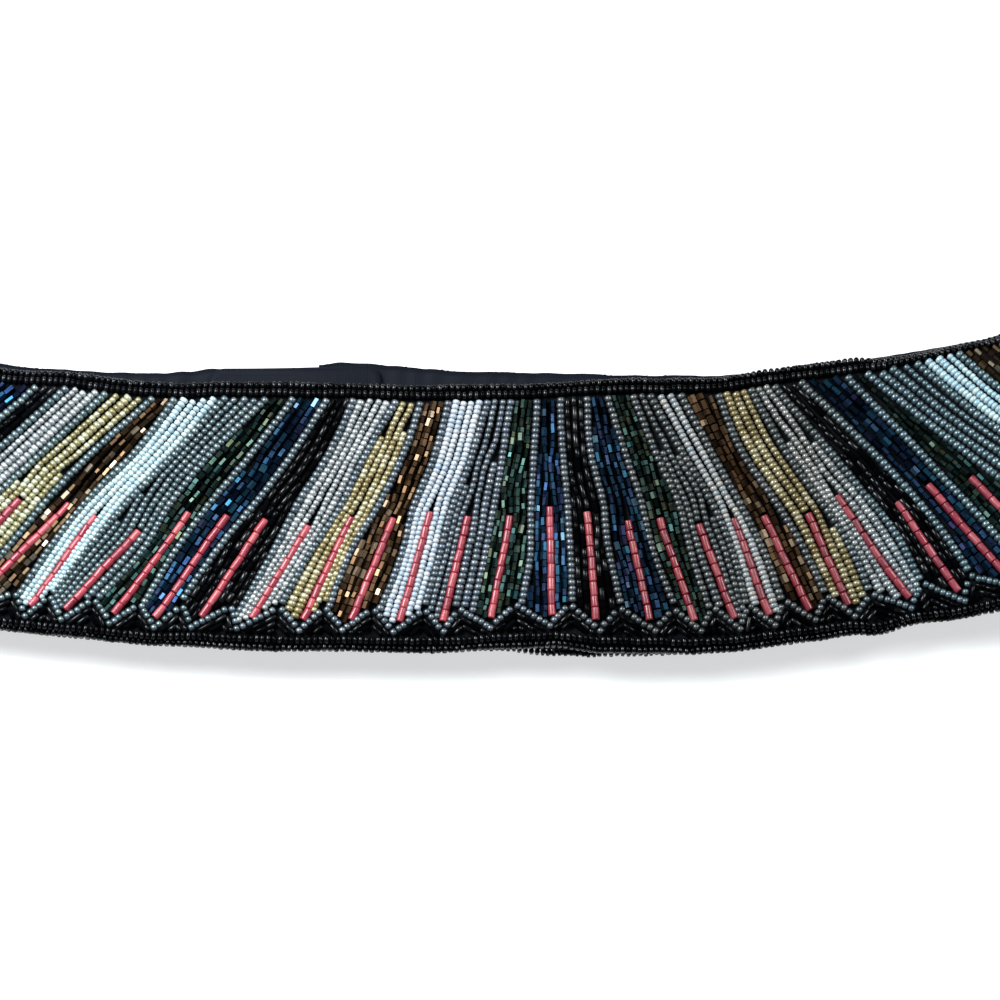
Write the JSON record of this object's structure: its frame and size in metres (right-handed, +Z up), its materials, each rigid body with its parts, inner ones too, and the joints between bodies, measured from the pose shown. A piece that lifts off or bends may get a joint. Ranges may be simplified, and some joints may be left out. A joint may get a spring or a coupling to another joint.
{
  "type": "beaded belt",
  "caption": "Wide contoured waist belt with slanting fans of coloured beads, black bead edging and a dark lining, fastened into a loop and laid flat.",
  "frame": {"origin": "on the surface the belt lies on, under the middle of its bounding box", "axes": "+X along the belt, +Y towards its upper (shorter) edge, +Z up out of the upper layer's beads"},
  "size_m": [0.38, 0.0898, 0.025],
  "materials": {
    "lining": "dark navy-black satin",
    "backing": "black felted ground cloth",
    "field_beads": "small glass beads: gunmetal, blue, green, bronze, gold, pearl, silver, black and coral red",
    "black_beads": "jet black glass beads",
    "edge_beads": "black glass seed beads"
  },
  "bodies": {
    "root": {"lining": "lining", "backing_cloth": "backing", "bead_field": "field_beads", "black_bead_border": "black_beads", "upper_edge_face_beads": "edge_beads", "lower_edge_face_beads": "edge_beads", "upper_edge_rim_beads": "edge_beads", "lower_edge_rim_beads": "edge_beads", "closure_tab": "lining"}
  },
  "joints": []
}
